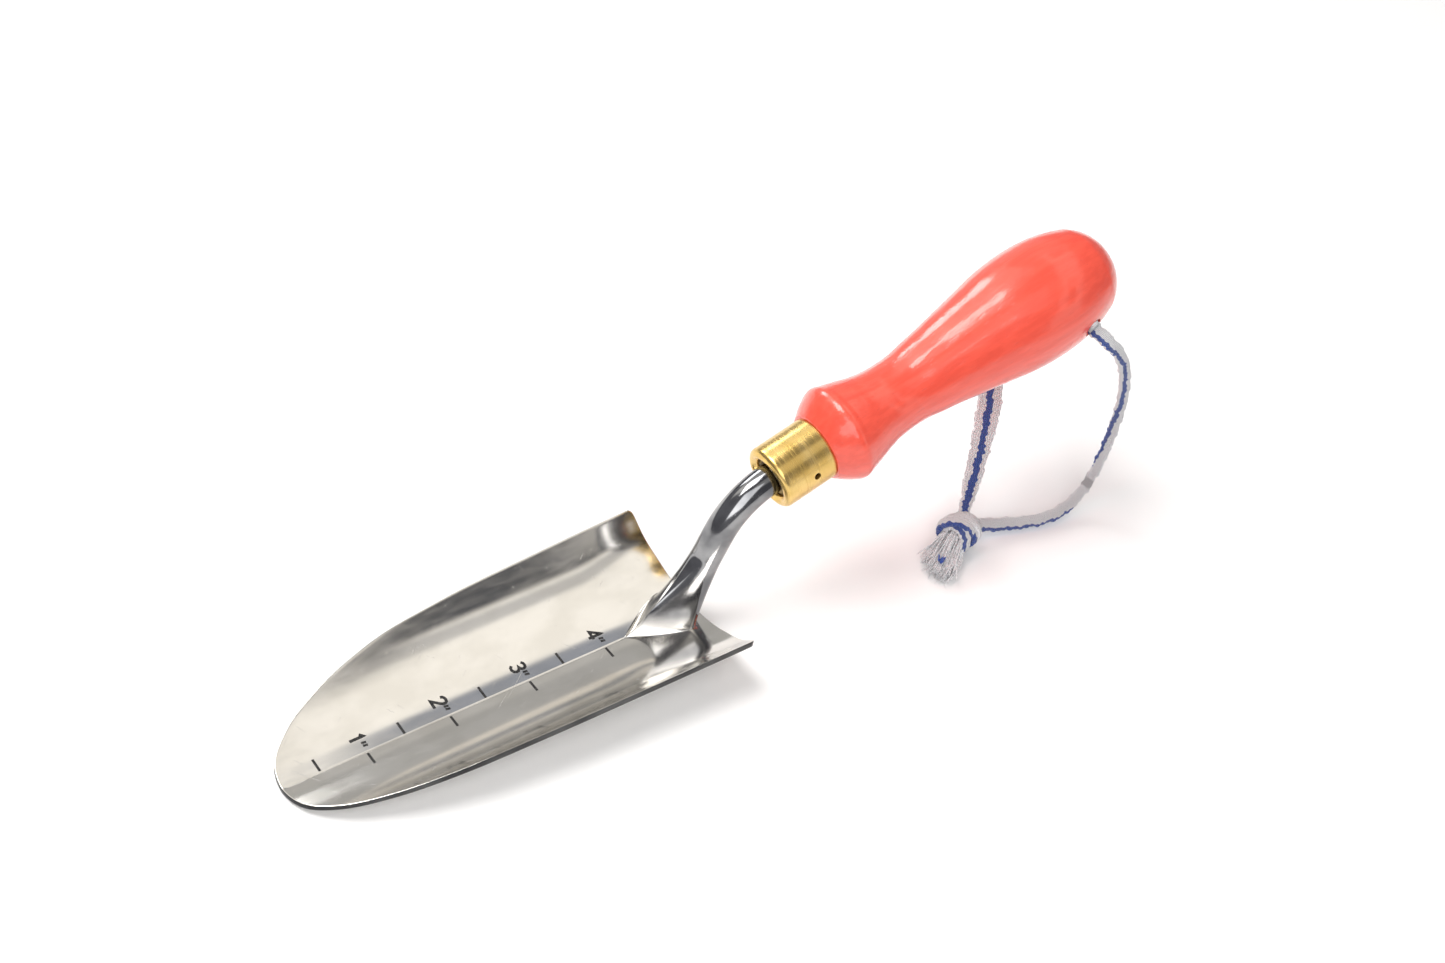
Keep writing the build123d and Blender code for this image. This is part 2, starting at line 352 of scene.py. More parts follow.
def strand_tube(verts, faces, points, radius):
    """Thin closed tube through points, added to verts and faces."""
    sides = 5
    start = len(verts)
    for k, point in enumerate(points):
        ahead = points[min(k + 1, len(points) - 1)]
        behind = points[max(k - 1, 0)]
        tangent = (ahead - behind).normalized()
        side = tangent.cross(Vector((0, 0, 1)))
        side = side.normalized() if side.length > 1e-6 else Vector((1, 0, 0))
        up = side.cross(tangent)
        thin = radius * (1 if k < len(points) - 1 else 0.45)
        for j in range(sides):
            angle = 2 * math.pi * j / sides
            verts.append(point + (side * math.cos(angle) + up * math.sin(angle)) * thin)
    faces += grid_faces(len(points), sides, closed=True, start=start)
    faces.append(tuple(range(start, start + sides))[::-1])
    faces.append(tuple(range(len(verts) - sides, len(verts))))


def brush_point(run, aside, height):
    """Place in the brush: distance from the knot, sideways and above the floor, in mm."""
    return (Vector((KNOT_CENTRE.x, KNOT_CENTRE.y, 0)) + TAIL_DIR * (run * MM)
            + TAIL_SIDE * (aside * MM) + Vector((0, 0, height * MM)))


def make_brush():
    """The cord's two ends, frayed into one flat brush, with a small coloured tuft."""
    rnd = random.Random(11)
    white_verts, white_faces, blue_verts, blue_faces = [], [], [], []
    for k in range(210):
        turn, layer = rnd.uniform(0, 2 * math.pi), math.sqrt(rnd.random())
        fan = layer * math.cos(turn)
        reach = (17.0 - 2.2 * fan * fan - 1.6 * fan) * rnd.uniform(0.66, 1.06)
        curl = rnd.gauss(0, 1.3)
        high = 6.0 + 3.3 * layer * math.sin(turn)
        low = rnd.uniform(0.5, 3.6)
        points = []
        for s in range(9):
            share = s / 8
            run = 2.2 + (reach - 2.2) * share
            aside = fan * (3.2 + 2.3 * math.sin(math.pi * min(share * 0.75, 1))) + curl * share * share
            aside += 0.12 * math.sin(7 * share + k)
            height = high + (low - high) * smoothstep(0, 0.9, share)
            points.append(brush_point(run, aside, max(height, 0.45)))
        strand_tube(white_verts, white_faces, points, rnd.uniform(0.16, 0.30) * MM)
    for k in range(7):
        base = 11.5 + rnd.uniform(-0.6, 0.6)
        aside = 0.2 + rnd.uniform(-1.1, 1.1)
        points = []
        for s in range(6):
            share = s / 5
            sideways = aside + 0.9 * math.sin(k * 2.1) * share
            points.append(brush_point(base + 2.1 * share, sideways, 4.9 - 0.5 * share))
        strand_tube(blue_verts, blue_faces, points, 0.24 * MM)
    for heading, start, length, bend in (
        (-0.45, -2.6, 5.6, 0.5), (0.10, -1.8, 6.4, -0.7), (0.35, -1.0, 5.2, 0.9), (0.6, 2.4, 3.0, 0.2),
    ):
        points = []
        for s in range(12):
            share = s / 11
            run = 13.0 + length * share
            aside = start + heading * length * share + bend * math.sin(3 * share)
            points.append(brush_point(run, aside, 0.9 - 0.5 * share))
        strand_tube(white_verts, white_faces, points, 0.11 * MM)
    white = mesh_from("cord_frayed_ends", white_verts, white_faces,
                      [(3.0, v.x / MM) for v in white_verts])
    blue = mesh_from("cord_blue_tuft", blue_verts, blue_faces, [(0.0, 0.0)] * len(blue_verts))
    brush = finish_piece(add_object("cord_frayed_ends", white), "braided_cord", "cord_tails")
    tuft = finish_piece(add_object("cord_blue_tuft", blue), "braided_cord")
    return [brush, tuft]


knot_pieces = make_knot()
brush_pieces = make_brush()
near_leg = make_cord_leg(
    "near_leg", NEAR_LEG,
    widths=[(0, 4.4), (0.12, 3.6), (0.35, 3.3), (0.6, 3.2), (0.75, 3.6), (1, 4.2)],
    thick=[(0, 2.3), (0.3, 2.0), (1, 2.2)],
    stripe=[(0, 0.55), (0.08, 0.6), (0.16, 0.1), (0.32, 0.15), (0.42, 0.6), (0.54, 1.0), (0.60, 2.4),
            (0.611, 60), (0.612, -60), (0.623, -2.4), (0.72, -1.0), (1, -0.8)],
    seed=1, replaced=["cord_near_leg"], broad=0.95, facing=to_front)
far_leg = make_cord_leg(
    "far_leg", FAR_LEG,
    widths=[(0, 4.6), (0.3, 5.6), (0.62, 7.4), (0.85, 5.6), (1, 3.4)],
    thick=[(0, 1.5), (0.3, 2.0), (1, 2.0)],
    stripe=[(0, 0.0), (0.4, 0.12), (0.65, 0.0), (0.8, -0.1), (1, 0.0)],
    seed=2, replaced=["cord_far_leg"], broad=1.5,
    facing=to_front_below_handle)


def make_inner_cord():
    """The stretch of tape that runs through the butt, from mouth to mouth."""
    middle = MOUTH + AXIS * (HOLE_ALONG * MM)
    across = Vector((0, 1, 0)) * math.cos(HOLE_TILT) + AXIS_UP * math.sin(HOLE_TILT)
    half = 17.2 * MM
    line = [middle + across * (k / 20 * half) for k in range(-20, 21)]
    mesh, _, _ = tape_mesh(
        "cord_through_butt", line, lambda spot: AXIS, lambda share: 5.2, lambda share: 3.6,
        lambda share: 0.4, 3)
    return finish_piece(add_object("cord_through_butt", mesh), "braided_cord", "cord_in_handle")


inner_cord = make_inner_cord()


# ---------------------------------------------------------------- blade
SHEET = 1.6
FLAT_PITCH = 5.0
FLAT_HALF = 2.5
FLANK_PITCH = 46.0
FLANK_START = 28.0
BLADE_LENGTH = 129.1
OUTLINE = [(0, 0), (2.0, 7.9), (8, 13.8), (20.5, 19.9), (39, 24.7), (63, 27.2), (95, 28.7),
           (127.5, 29.76)]
CORNER = 1.6
HEEL_BULGE = 2.6
HEEL_LIFT = 1.3


def section_tables():
    """Height of the top and the underside of the sheet against the distance from the crease."""
    top, under = [(0.0, 0.0)], [(0.0, -SHEET)]
    y = z = 0.0
    step = 0.05
    for k in range(1, 761):
        run = (k - 0.5) * step
        share = min(max((run - FLAT_HALF) / (FLANK_START - FLAT_HALF), 0), 1)
        pitch = math.radians(FLAT_PITCH + (FLANK_PITCH - FLAT_PITCH) * share)
        y += math.cos(pitch) * step
        z += math.sin(pitch) * step
        top.append((y, z))
        under.append((y + SHEET * math.sin(pitch), z - SHEET * math.cos(pitch)))
    return top, under


TOP_TABLE, UNDER_TABLE = section_tables()


def look_up(table, y):
    """Linear interpolation in a table of (y, z)."""
    low, high = 0, len(table) - 1
    while high - low > 1:
        middle = (low + high) // 2
        if table[middle][0] <= y:
            low = middle
        else:
            high = middle
    (y0, z0), (y1, z1) = table[low], table[high]
    return z0 + (z1 - z0) * (y - y0) / (y1 - y0)


def lift(x, y):
    """How much the heel rises over the plain section; x is the distance from the tip."""
    return HEEL_LIFT * smoothstep(104, 130, x) * (1 - smoothstep(15, 27, abs(y)))


def top_z(x, y):
    """Height of the blade's upper side over the table, in mm."""
    return CREASE_TOP / MM + look_up(TOP_TABLE, abs(y)) + lift(x, y)


def under_z(x, y):
    """Height of the blade's underside."""
    return CREASE_TOP / MM + look_up(UNDER_TABLE, abs(y)) + lift(x, y)


def smooth_line(points, per_span):
    """Smooth curve through points in the plane, with tangents from the neighbours."""
    out = []
    last = len(points) - 1
    for k in range(last):
        p0, p1 = Vector(points[k]), Vector(points[k + 1])
        before = Vector(points[k - 1]) if k > 0 else p0 * 2 - p1
        after = Vector(points[k + 2]) if k + 2 <= last else p1 * 2 - p0
        d0, d1, d2 = (p0 - before).length, (p1 - p0).length, (after - p1).length
        t0 = ((p0 - before) / d0 * d1 + (p1 - p0) / d1 * d0) / (d0 + d1) * d1
        t1 = ((p1 - p0) / d1 * d2 + (after - p1) / d2 * d1) / (d1 + d2) * d1
        for s in range(per_span):
            t = s / per_span
            out.append(
                p0 * (2 * t**3 - 3 * t**2 + 1) + t0 * (t**3 - 2 * t**2 + t)
                + p1 * (-2 * t**3 + 3 * t**2) + t1 * (t**3 - t**2)
            )
    out.append(Vector(points[-1]))
    return out


def blade_outline():
    """Points (distance from the tip, half width) from the tip round to the heel's corner."""
    mirrored = [(2.0, -7.9)] + OUTLINE
    line = smooth_line(mirrored, 36)
    line = line[36:]
    corner_x = OUTLINE[-1][0]
    for k in range(1, 9):
        angle = math.pi / 2 * k / 8
        line.append(Vector((
            corner_x + CORNER * math.sin(angle), OUTLINE[-1][1] - CORNER * (1 - math.cos(angle)))))
    return line


def make_blade():
    """Dense sheet with rounded edges, the scored centre line cut into its upper side."""
    outline = blade_outline()
    centre = [0.0, 0.1, 0.22, 0.3, 0.45, 0.7, 1.0]
    outer = [k / 54 for k in range(1, 55)]
    rim = [(0.28, 0.0), (0.1, 0.07), (0.02, 0.2), (0.0, 0.42)]
    rows = []
    count = len(outline)
    extra = [(0.09, 0.07), (0.02, 0.2), (0.0, 0.42)]
    plan = [(k, rim[0][0], 0.0) for k in range(count)] + [(count - 1, gap, dip) for gap, dip in extra]
    for k, gap, dip in plan:
        spot = outline[k]
        ahead, behind = outline[min(k + 1, count - 1)], outline[max(k - 1, 0)]
        run = (ahead - behind).normalized() if k > 0 else Vector((0, 1))
        outward = Vector((-run.y, run.x))
        if k == count - 1:
            outward = Vector((1, 0))
        inner = spot - outward * gap
        bow = smoothstep(96, BLADE_LENGTH, spot.x)

        def place(x, y, dip_here, below):
            shift = HEEL_BULGE * bow * (1 - (y / 29.8) ** 2)
            x = x + shift
            high, low = top_z(x, y) - dip_here, under_z(x, y) + dip_here
            if not below:
                near = abs(y) / min(1.0, max(inner.y, 0.01) / 3)
                score = 0.2 * (1 - smoothstep(0.0, 0.3, near)) * smoothstep(0.6, 1.4, x)
                high -= score * (1 - smoothstep(106, 107, x))
            return Vector((TIP_X + x * MM, y * MM, (low if below else high) * MM))

        core = min(1.0, max(inner.y, 0.0) / 3)
        ys = [c * core for c in centre] + [core + (inner.y - core) * h for h in outer]
        ys = [max(y, 0.0) for y in ys]
        full = [-y for y in reversed(ys[1:])] + ys
        edge = []
        for inset, sink in rim[1:]:
            at = spot - outward * inset if k < count - 1 else inner
            edge.append((at.x, max(at.y, 0.0), max(sink, dip)))
        row = [place(inner.x, y, dip, False) for y in full]
        row += [place(x, y, sink, False) for x, y, sink in edge]
        row += [place(x, y, sink, True) for x, y, sink in reversed(edge)]
        row += [place(inner.x, y, dip, True) for y in reversed(full)]
        row += [place(x, -y, sink, True) for x, y, sink in edge]
        row += [place(x, -y, sink, False) for x, y, sink in reversed(edge)]
        rows.append(row)
    columns = len(rows[0])
    verts = [v for row in rows for v in row]
    faces = grid_faces(len(rows), columns, closed=True)
    side, turn = len(full), 2 * len(edge)
    rim_columns = set(range(side, side + turn - 1)) | set(range(2 * side + turn, columns - 1))
    rim_faces = [index for index in range(len(faces)) if index % columns in rim_columns]
    # close the heel between the upper and lower sides
    last = (len(rows) - 1) * columns
    for j in range(side - 1):
        other = side + turn + (side - 1 - j)
        faces.append((last + j, last + j + 1, last + other - 1, last + other))
    for start in (side - 1, 2 * side + turn - 1):
        ring = [last + (start + n) % columns for n in range(turn + 2)]
        faces.append(tuple(ring))
    mesh = mesh_from("blade_sheet", verts, faces)
    # rim faces take the second material, steel painted near-black as a dark reflection
    for index in rim_faces:
        mesh.polygons[index].material_index = 1
    fix_normals(mesh, weld=2e-6)
    return finish_piece(add_object("blade_sheet", mesh), "polished_steel", "blade")


blade = make_blade()


# ---------------------------------------------------------------- engraved scale
INCH = 25.4
DIGITS = {
    1: [[(0.65, 3.1), (1.45, 4.0), (1.45, 0.0)]],
    2: [[(0.2, 3.0), (0.35, 3.6), (0.8, 3.95), (1.3, 4.05), (1.9, 3.9), (2.25, 3.4), (2.2, 2.75),
         (1.8, 2.1), (0.15, 0.1), (2.5, 0.1)]],
    3: [[(0.2, 3.45), (0.65, 3.92), (1.25, 4.05), (1.85, 3.88), (2.15, 3.35), (2.05, 2.75),
         (1.65, 2.35), (1.1, 2.2), (1.75, 2.05), (2.25, 1.55), (2.3, 0.95), (1.95, 0.3),
         (1.3, 0.0), (0.65, 0.1), (0.15, 0.6)]],
    4: [[(1.85, 0.0), (1.85, 4.0), (0.1, 1.15), (2.6, 1.15)]],
}
INCH_MARK = [[(0.0, 0.0), (0.2, 1.05)], [(0.75, 0.0), (0.95, 1.05)]]


def stroke(verts, faces, points, width):
    """Thin strip let into the blade along points (distance from the tip, y), with mitred corners."""
    fine = []
    for a, b in zip(points, points[1:]):
        a, b = Vector(a), Vector(b)
        pieces = max(int((b - a).length / 0.5), 1)
        fine += [a + (b - a) * s / pieces for s in range(pieces)]
    fine.append(Vector(points[-1]))
    start = len(verts)
    for k, spot in enumerate(fine):
        into = (spot - fine[k - 1]).normalized() if k > 0 else None
        out = (fine[k + 1] - spot).normalized() if k < len(fine) - 1 else None
        into, out = into or out, out or into
        bisect = (into + out).normalized() if (into + out).length > 0.2 else out
        side = Vector((-bisect.y, bisect.x))
        mitre = min(1 / max(side.dot(Vector((-out.y, out.x))), 0.4), 2.0)
        for across, height in ((1, 0.035), (-1, 0.035), (-1, -0.2), (1, -0.2)):
            x, y = spot + side * (across * width / 2 * mitre)
            verts.append(Vector((TIP_X + x * MM, y * MM, (top_z(x, y) + height) * MM)))
    faces += grid_faces(len(fine), 4, closed=True, start=start)
    faces.append(tuple(range(start, start + 4))[::-1])
    faces.append(tuple(range(len(verts) - 4, len(verts))))


def make_scale():
    """Marks every half inch beside the crease, and numerals at the inches."""
    verts, faces = [], []
    for count in range(1, 9):
        half_mark = count % 2 == 1
        x = -0.5 + count * INCH / 2 + (-0.9 if half_mark else 0)
        side = 1 if half_mark else -1
        stroke(verts, faces, [(x, side * 0.45), (x - (0 if half_mark else 0.25), side * 4.5)], 0.72)
        if half_mark:
            continue
        digit = count // 2
        for line in DIGITS[digit]:
            stroke(verts, faces, [(x - 2.4 + 1.05 * v, 6.4 - 1.05 * u) for u, v in line], 0.85)
        for line in INCH_MARK:
            stroke(verts, faces, [(x + 0.1 + 1.3 * v, 3.2 - 1.3 * u) for u, v in line], 0.7)
    mesh = mesh_from("engraved_scale", verts, faces, smooth=False)
    fix_normals(mesh)
    return finish_piece(add_object("engraved_scale", mesh), "pin_steel")


scale = make_scale()


# ---------------------------------------------------------------- swan neck
NECK_RADIUS = 4.5 * MM
NECK_BEND = 23.5 * MM
NECK_PITCH = math.radians(67.4)
STRAIGHT = 13.0 * MM
FOOT_MIDDLE = 124.5
FOOT_TONGUE = 17.3
FOOT_HEEL = 5.4
FOOT_HALF_WIDTH = 8.4
FOOT_SINK = 0.06


def make_neck():
    """Round bar from the ferrule down to the heel, flaring smoothly out over the blade."""
    around = 64
    rings = []

    def ring(centre, pitch, radius=NECK_RADIUS):
        rear = Vector((math.sin(pitch), 0, -math.cos(pitch)))
        return [
            centre + (rear * math.cos(2 * math.pi * j / around)
                      + Vector((0, 1, 0)) * math.sin(2 * math.pi * j / around)) * radius
            for j in range(around)
        ]

    for k in range(5):
        rings.append(ring(MOUTH + AXIS * ((8 - 2 * k) * MM), AXIS_PITCH))
    spot = MOUTH.copy()
    steps = 40
    for k in range(1, steps + 1):
        pitch = AXIS_PITCH + (NECK_PITCH - AXIS_PITCH) * k / steps
        middle = AXIS_PITCH + (NECK_PITCH - AXIS_PITCH) * (k - 0.5) / steps
        arc = NECK_BEND * (NECK_PITCH - AXIS_PITCH) / steps
        spot = spot - Vector((math.cos(middle), 0, math.sin(middle))) * arc
        rings.append(ring(spot, pitch))
    down = -Vector((math.cos(NECK_PITCH), 0, math.sin(NECK_PITCH)))
    for k in range(1, 9):
        rings.append(ring(spot + down * (STRAIGHT * 0.62 * k / 8), NECK_PITCH))
    top = rings[-1]
    steps = 46
    flare = [[] for _ in range(steps)]
    for j in range(around):
        angle = 2 * math.pi * j / around
        c, s = math.cos(angle), math.sin(angle)
        front = max(-c, 0.0)
        if c < 0:
            foot_x = FOOT_MIDDLE - FOOT_TONGUE * front ** 1.15
            foot_y = math.copysign(FOOT_HALF_WIDTH * (1 - front ** 1.6), s)
        else:
            foot_x = FOOT_MIDDLE + FOOT_HEEL * c
            foot_y = math.copysign(FOOT_HALF_WIDTH * abs(s) ** 0.85, s)
        spread = Vector((c * (1.0 if c < 0 else 0.5), s)).normalized()
        reach = 10.0 * front + 4.5 * (1 - abs(c)) + 1.0 * max(c, 0)
        here = Vector((foot_x, foot_y))
        beyond = here + spread * 0.5
        base = Vector((TIP_X + here.x * MM, here.y * MM, (top_z(*here) - FOOT_SINK) * MM))
        further = Vector((
            TIP_X + beyond.x * MM, beyond.y * MM, (top_z(*beyond) - FOOT_SINK) * MM))
        end_run = (further - base).normalized() * (reach * MM)
        start_run = down * (13.0 * MM)
        for k in range(steps):
            t = (k + 1) / steps
            flare[k].append(
                top[j] * (2 * t**3 - 3 * t**2 + 1) + start_run * (t**3 - 2 * t**2 + t)
                + base * (-2 * t**3 + 3 * t**2) + end_run * (t**3 - t**2)
            )
    rings += flare
    verts = [v for row in rings for v in row]
    faces = grid_faces(len(rings), around, closed=True)
    faces.append(tuple(range(around)))
    faces.append(tuple(range(len(verts) - around, len(verts))))
    mesh = mesh_from("neck_bar", verts, faces)
    fix_normals(mesh)
    return finish_piece(add_object("neck_bar", mesh), "polished_steel", "swan_neck", "weld_bead")


neck = make_neck()


# ---------------------------------------------------------------- turned pieces
def axis_point(distance, radius, angle):
    """Point at a distance from the mouth, a radius and an angle (0 = +Y, 90 degrees = up)."""
    out = Vector((0, 1, 0)) * math.cos(angle) + AXIS_UP * math.sin(angle)
    return MOUTH + AXIS * (distance * MM) + out * (radius * MM)


def lathe(name, profile, around, ripple=None):
    """Surface of revolution about the handle's axis; ends at no radius are closed by a fan."""
    verts, uvs = [], []
    for distance, radius in profile:
        for j in range(around):
            angle = 2 * math.pi * j / around
            swell = ripple(distance, angle) if ripple else 0.0
            verts.append(axis_point(distance, radius + swell * min(radius, 1.0), angle))
            uvs.append((angle, distance))
    faces = grid_faces(len(profile), around, closed=True)
    mesh = mesh_from(name, verts, faces, uvs)
    fix_normals(mesh, weld=1e-6)
    return mesh


def bore(obj, start, end, radius, sides=48):
    """Cut a round hole from start to end."""
    run = (end - start).normalized()
    side = run.orthogonal().normalized()
    other = run.cross(side)
    verts = []
    for spot in (start, end):
        for j in range(sides):
            angle = 2 * math.pi * j / sides
            verts.append(spot + (side * math.cos(angle) + other * math.sin(angle)) * radius)
    faces = grid_faces(2, sides, closed=True)
    faces += [tuple(range(sides))[::-1], tuple(range(sides, 2 * sides))]
    mesh = mesh_from(obj.name + "_cutter", verts, faces, smooth=False)
    fix_normals(mesh)
    cutter = add_object(obj.name + "_cutter", mesh)
    change = obj.modifiers.new("bore", "BOOLEAN")
    change.object = cutter
    change.operation = "DIFFERENCE"
    change.solver = "EXACT"
    bpy.context.view_layer.update()
    graph = bpy.context.evaluated_depsgraph_get()
    cut = bpy.data.meshes.new_from_object(obj.evaluated_get(graph))
    obj.modifiers.clear()
    obj.data = cut
    bpy.data.objects.remove(cutter)


PIN_ALONG = 10.7
PIN_ANGLE = math.radians(170)


def make_ferrule():
    """Brass cup: rolled rim, turned-in lip and a drilled pin hole."""
    profile = [(17.3, 8.3)]
    profile += [(17.4, 9.2), (17.35, 9.38), (17.2, 9.45)]
    profile += [(17.2 - 15.4 * k / 30, 9.45) for k in range(1, 31)]
    for k in range(1, 13):
        angle = math.pi / 2 * k / 12
        profile.append((1.8 - 1.8 * math.sin(angle), 7.65 + 1.8 * math.cos(angle)))
    profile += [(0.02, 7.35), (0.15, 7.1), (0.4, 6.8), (0.75, 6.4), (1.0, 6.15), (1.3, 6.1),
                (2.0, 6.1), (2.05, 6.2), (2.05, 8.3), (17.3, 8.3)]
    mesh = lathe("ferrule_cup", profile, 160)
    ferrule = finish_piece(add_object("ferrule_cup", mesh), "satin_brass", "ferrule")
    bore(ferrule, axis_point(PIN_ALONG, 10.5, PIN_ANGLE), axis_point(PIN_ALONG, 7.0, PIN_ANGLE),
         1.0 * MM)
    return ferrule


ferrule = make_ferrule()


def make_pin():
    """Domed head of the pin, sunk in its hole."""
    verts, faces = [], []
    rings = [(0.0, 0.8), (7.9, 0.8), (8.15, 0.74), (8.3, 0.55), (8.38, 0.3), (8.4, 0.01)]
    centre = axis_point(PIN_ALONG, 0, PIN_ANGLE)
    out = (axis_point(PIN_ALONG, 1, PIN_ANGLE) - centre).normalized()
    side = AXIS
    other = out.cross(side)
    for distance, radius in rings:
        for j in range(24):
            angle = 2 * math.pi * j / 24
            verts.append(centre + out * (distance * MM)
                         + (side * math.cos(angle) + other * math.sin(angle)) * (radius * MM))
    faces = grid_faces(len(rings), 24, closed=True)
    faces.append(tuple(range(24))[::-1])
    faces.append(tuple(range(len(verts) - 24, len(verts))))
    mesh = mesh_from("pin_head", verts, faces)
    fix_normals(mesh)
    return finish_piece(add_object("pin_head", mesh), "pin_steel", "ferrule_pin")


pin = make_pin()

HANDLE_POINTS = [
    (17.4, 10.2), (19.6, 11.9), (22, 13.4), (25.2, 14.7), (28, 14.0), (32, 12.9), (36, 11.75),
    (40, 10.9), (45, 10.5), (50, 10.6), (56, 11.5), (62, 12.35), (68, 13.4), (74, 14.45),
    (80, 15.5), (86, 16.6), (92, 17.25), (98, 17.45), (104, 17.15), (109, 16.35), (113, 15.3),
]
HANDLE_END = 125.3
BUTT_RADIUS = 15.8
BUTT_ARC = 62


def make_handle():
    """Turned handle with slight ripples of raised grain, drilled for the cord."""
    dome = []
    for k in range(25):
        angle = math.radians(BUTT_ARC) * (1 - k / 24)
        dome.append((HANDLE_END - BUTT_RADIUS + BUTT_RADIUS * math.cos(angle),
                     BUTT_RADIUS * math.sin(angle)))
    shape = smooth_line(HANDLE_POINTS + [dome[0]], 14)
    profile = [(18.0, 0.0), (17.9, 8.2), (17.39, 8.3)] + [(p.x, p.y) for p in shape] + dome[1:]

    def ripple(distance, angle):
        wave = 0.022 * math.sin(9 * angle + 0.05 * distance + 2 * math.sin(0.06 * distance))
        wave += 0.014 * math.sin(23 * angle + 1.5 * math.sin(0.11 * distance))
        return wave * smoothstep(18, 30, distance) * (1 - smoothstep(112, 122, distance))

    mesh = lathe("handle_wood", profile, 192, ripple)
    handle = finish_piece(add_object("handle_wood", mesh), "painted_wood", "handle")
    bore(handle, axis_point(HOLE_ALONG, -20, HOLE_TILT), axis_point(HOLE_ALONG, 20, HOLE_TILT),
         3.1 * MM)
    return handle


handle = make_handle()


def make_crust():
    """Hardened adhesive in the mouth of the ferrule, uneven, with a gap at the upper side."""
    rings, around = 10, 96
    verts = []
    rnd = random.Random(4)
    phase = [rnd.uniform(0, 6.28) for _ in range(5)]
    for i in range(rings + 1):
        share = i / rings
        for j in range(around):
            angle = 2 * math.pi * j / around
            rough = 0.25 * math.sin(3 * angle + phase[0]) + 0.18 * math.sin(7 * angle + phase[1])
            rough += 0.12 * math.sin(13 * angle + phase[2] + 3 * share)
            open_side = smoothstep(0.1, 0.9, math.cos(angle - math.radians(115)))
            depth = 2.2 + 2.6 * open_side * (1 - abs(2 * share - 1) ** 3) - rough * (1 - open_side)
            depth -= 0.9 * (1 - share) * (1 - open_side)
            verts.append(axis_point(depth, 4.3 + (6.6 - 4.3) * share, angle))
    for i in range(2):
        for j in range(around):
            angle = 2 * math.pi * j / around
            verts.append(axis_point(7.5, (6.6, 4.3)[i], angle))
    faces = grid_faces(rings + 3, around, closed=True)
    base = (rings + 2) * around
    for j in range(around):
        nxt = (j + 1) % around
        faces.append((base + j, base + nxt, nxt, j))
    mesh = mesh_from("adhesive_crust", verts, faces)
    fix_normals(mesh)
    return finish_piece(add_object("adhesive_crust", mesh), "adhesive", "tang_adhesive")


crust = make_crust()


# ---------------------------------------------------------------- materials
def blank(name):
    """New material with a principled shader: the material, its tree and the shader."""
    material = bpy.data.materials.new(name)
    material.use_nodes = True
    tree = material.node_tree
    return material, tree, tree.nodes["Principled BSDF"]


def add(tree, kind, inputs=(), **settings):
    """Node of a kind, with settings, and links or values for some of its inputs."""
    node = tree.nodes.new(kind)
    for key, value in settings.items():
        setattr(node, key, value)
    for key, value in dict(inputs).items():
        if isinstance(value, bpy.types.NodeSocket):
            tree.links.new(value, node.inputs[key])
        else:
            node.inputs[key].default_value = value
    return node


def mapped(tree, scale, rotation=(0, 0, 0)):
    """Object coordinates turned and then stretched."""
    place = add(tree, "ShaderNodeTexCoord").outputs["Object"]
    turned = add(tree, "ShaderNodeMapping", {"Vector": place, "Rotation": rotation})
    return add(tree, "ShaderNodeMapping", {
        "Vector": turned.outputs[0], "Scale": scale}).outputs[0]


def noise(tree, vector, scale, detail=3.0, roughness=0.5, distortion=0.0):
    """Noise texture's factor."""
    return add(tree, "ShaderNodeTexNoise", {
        "Vector": vector, "Scale": scale, "Detail": detail, "Roughness": roughness,
        "Distortion": distortion}).outputs["Fac"]


def remap(tree, value, low, high, to_low, to_high, smooth=True):
    """Value from one range to another, clamped."""
    return add(tree, "ShaderNodeMapRange", {
        "Value": value, "From Min": low, "From Max": high, "To Min": to_low, "To Max": to_high},
        interpolation_type="SMOOTHSTEP" if smooth else "LINEAR").outputs["Result"]


def calc(tree, operation, first, second=0.0):
    """Maths node."""
    return add(tree, "ShaderNodeMath", {0: first, 1: second}, operation=operation).outputs[0]


def blend(tree, factor, first, second):
    """Mix of two colours."""
    node = add(tree, "ShaderNodeMix", data_type="RGBA")
    for index, value in ((0, factor), (6, first), (7, second)):
        if isinstance(value, bpy.types.NodeSocket):
            tree.links.new(value, node.inputs[index])
        else:
            node.inputs[index].default_value = value
    return node.outputs[2]


def bump(tree, shader, height, distance, strength=1.0):
    """Bump on a shader."""
    node = add(tree, "ShaderNodeBump", {"Height": height, "Distance": distance, "Strength": strength})
    tree.links.new(node.outputs[0], shader.inputs["Normal"])


